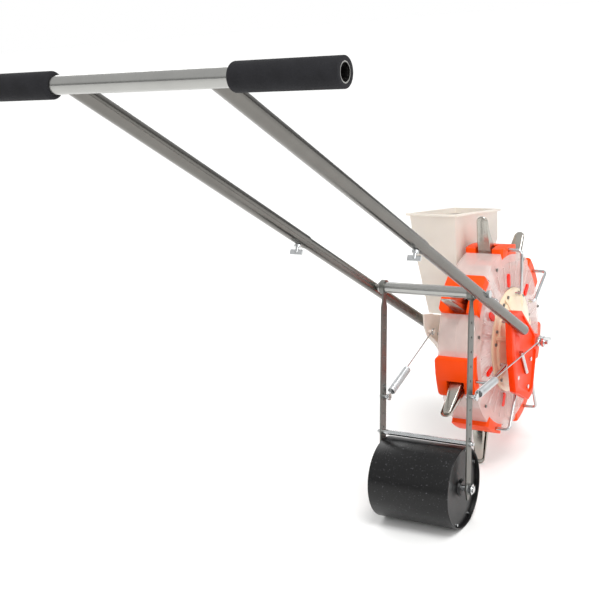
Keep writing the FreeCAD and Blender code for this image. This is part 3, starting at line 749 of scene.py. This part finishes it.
class SEEDER_OT_mouldings(bpy.types.Operator):
    """Brackets, hubs, hopper and feed neck with rounded moulded edges"""

    bl_idname = "seeder.mouldings"
    bl_label = "Moulded housings"

    def execute(self, context):
        edge = sizes().moulded_edge
        plan = (("bracket_right", "frame", "orange", "bracket", edge),
                ("bracket_left", "frame", "milky", "hopper", edge),
                ("hub_right", "drum", "cream", "cream", edge * 0.5),
                ("hub_left", "drum", "cream", "cream", edge * 0.6),
                ("hopper", "frame", "milky", "hopper", edge * 0.7),
                ("feed_neck", "frame", "milky", "hopper", edge * 0.6))
        for node, body, slot, finish, width in plan:
            piece = softened(node, "moulded_" + node, width)
            finish_piece(piece, body, slot, finishes()[finish], node)
        return {"FINISHED"}


class SEEDER_OT_roller(bpy.types.Operator):
    """The press roller's shell, with rounded lips"""

    bl_idname = "seeder.roller"
    bl_label = "Roller shell"

    def execute(self, context):
        low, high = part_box("roller_drum")
        radius, long = (high.z - low.z) / 2, high.y - low.y
        clear_selection()
        bpy.ops.mesh.primitive_cylinder_add(vertices=128, radius=radius, depth=long, end_fill_type="NOTHING",
                                            location=(low + high) / 2, rotation=(math.pi / 2, 0, 0))
        edit_all()
        bpy.ops.mesh.normals_make_consistent(inside=False)
        leave_edit()
        apply_modifier("SOLIDIFY", thickness=sizes().roller_wall, offset=-1.0, use_even_offset=True)
        apply_modifier("BEVEL", width=0.0012, segments=3, limit_method="ANGLE", angle_limit=math.radians(50))
        piece = settle("roller_shell")
        finish_piece(piece, "press_roller", "roller_black", finishes()["roller"], "roller_drum")
        return {"FINISHED"}


class SEEDER_OT_kept_parts(bpy.types.Operator):
    """Finishes for the parts that keep the frame's own shape"""

    bl_idname = "seeder.kept_parts"
    bl_label = "Kept parts"

    def execute(self, context):
        # The sloping tubes take the zinc with painted shade; the crossbar and cross tube take the zinc with
        # painted highlight.
        dress("sloping tube", "upper_tube_left", "upper_tube_right", "lower_tube_left", "lower_tube_right")
        dress("cross tube", "crossbar", "cross_tube")
        dress("zinc", "cross_bolts", "axle", "axle_nuts", "lock_screws", "adjuster_rod", "bracket_screws",
              "brace_rod", "spring_pins", "roller_axle", "roller_screws")
        dress("strip", "cover_screws", "arm_left", "arm_right")
        dress("cap", "seed_caps")
        dress("cover", "side_cover_left", "side_cover_right")
        dress("roller", "roller_end_left", "roller_end_right")
        return {"FINISHED"}


class SEEDER_OT_stage(bpy.types.Operator):
    """Pale floor, soft studio light and the camera"""

    bl_idname = "seeder.stage"
    bl_label = "Studio"

    def execute(self, context):
        scene = context.scene
        studio = scene.seeder_studio
        clear_selection()
        under = CAD_BOX[0].z - 0.0005
        bpy.ops.mesh.primitive_circle_add(vertices=96, radius=40, fill_type="NGON", location=(0, 0, under))
        floor = settle("studio_floor")
        material, tree, skin = shader("matt_studio_paper", tuple(colours().floor), 0.9)
        place = add(tree, "ShaderNodeTexCoord").outputs["Object"]
        pulp = add(tree, "ShaderNodeTexNoise", {"Vector": place, "Scale": 300.0, "Detail": 2.0})
        relief(tree, skin, pulp.outputs[0], 0.03, 0.0005)
        floor.data.materials.append(material)
        scene.view_settings.view_transform = "Standard"
        world = bpy.data.worlds.new("studio_air")
        world.use_nodes = True
        sky = world.node_tree
        sky.nodes.clear()
        height = add(sky, "ShaderNodeSeparateXYZ",
                     {"Vector": add(sky, "ShaderNodeTexCoord").outputs["Generated"]})
        glow = add(sky, "ShaderNodeMapRange", {"Value": height.outputs["Z"], "From Min": 0.0, "From Max": 0.3,
                                               "To Min": 0.1, "To Max": 0.75})
        plain = (1.0, 1.0, 1.0, 1.0)
        dome = add(sky, "ShaderNodeBackground", {"Color": plain, "Strength": glow.outputs[0]})
        white = add(sky, "ShaderNodeBackground", {"Color": plain, "Strength": 1.0})
        seen = add(sky, "ShaderNodeLightPath").outputs["Is Camera Ray"]
        both = add(sky, "ShaderNodeMixShader", {0: seen, 1: dome.outputs[0], 2: white.outputs[0]})
        add(sky, "ShaderNodeOutputWorld", {"Surface": both.outputs[0]})
        scene.world = world
        bpy.ops.object.light_add(type="SUN", location=(0, 0, 3),
                                 rotation=(math.radians(18), math.radians(-14), 0))
        ceiling = context.object
        ceiling.name = "ceiling_light"
        ceiling.data.energy = 1.65
        ceiling.data.angle = math.radians(26)
        lamps = (("side_softbox", (-0.6, -2.6, 1.5), 1.4, 20.0),
                 ("front_softbox", (-2.6, -1.2, 1.8), 1.2, 14.0),
                 ("rim_softbox", (1.4, 2.0, 1.7), 1.8, 20.0))
        for name, place, size, power in lamps:
            aim = Vector((0.1, 0, 0.4)) - Vector(place)
            bpy.ops.object.light_add(type="AREA", location=place,
                                     rotation=aim.to_track_quat("-Z", "Y").to_euler())
            lamp = context.object
            lamp.name = name
            lamp.data.size = size
            lamp.data.energy = power
        level = math.cos(studio.tilt)
        ahead = Vector((level * math.cos(studio.heading), level * math.sin(studio.heading),
                        math.sin(studio.tilt)))
        right = Vector((math.sin(studio.heading), -math.cos(studio.heading), 0))
        above = right.cross(ahead)
        swing_right = right * math.cos(studio.roll) + above * math.sin(studio.roll)
        swing_up = above * math.cos(studio.roll) - right * math.sin(studio.roll)
        turn = Matrix((swing_right, swing_up, -ahead)).transposed().to_euler()
        bpy.ops.object.camera_add(location=studio.camera_at, rotation=turn)
        camera = context.object
        camera.data.lens = studio.lens
        camera.data.sensor_width = 36.0
        camera.data.shift_x = -0.003
        camera.data.shift_y = 0.001
        camera.data.clip_end = 200.0
        scene.camera = camera
        return {"FINISHED"}


class SEEDER_PT_pieces(bpy.types.Panel):
    """Lists the seeder's pieces"""

    bl_idname = "SEEDER_PT_pieces"
    bl_label = "Drum seeder"
    bl_space_type = "VIEW_3D"
    bl_region_type = "UI"
    bl_category = "Seeder"

    def draw(self, context):
        for step in STEPS:
            self.layout.operator(step.bl_idname)
        for name, kind in GROUPS:
            group = getattr(context.scene, name)
            for key in group.bl_rna.properties.keys():
                if key not in {"rna_type", "name"}:
                    self.layout.prop(group, key)


STEPS = (SEEDER_OT_grips, SEEDER_OT_coils, SEEDER_OT_hooks, SEEDER_OT_fixed_beaks, SEEDER_OT_moving_beaks,
         SEEDER_OT_seats, SEEDER_OT_mouldings, SEEDER_OT_roller, SEEDER_OT_kept_parts, SEEDER_OT_stage)
GROUPS = (("seeder_sizes", SeederSizes), ("seeder_colours", SeederColours), ("seeder_studio", SeederStudio))


def register():
    for name, group in GROUPS:
        bpy.utils.register_class(group)
        setattr(bpy.types.Scene, name, bpy.props.PointerProperty(type=group))
    for step in STEPS:
        bpy.utils.register_class(step)
    bpy.utils.register_class(SEEDER_PT_pieces)


def unregister():
    bpy.utils.unregister_class(SEEDER_PT_pieces)
    for step in reversed(STEPS):
        bpy.utils.unregister_class(step)
    for name, group in reversed(GROUPS):
        delattr(bpy.types.Scene, name)
        bpy.utils.unregister_class(group)


def main():
    register()
    for step in STEPS:
        area, name = step.bl_idname.split(".")
        getattr(getattr(bpy.ops, area), name)()


if __name__ == "__main__":
    main()
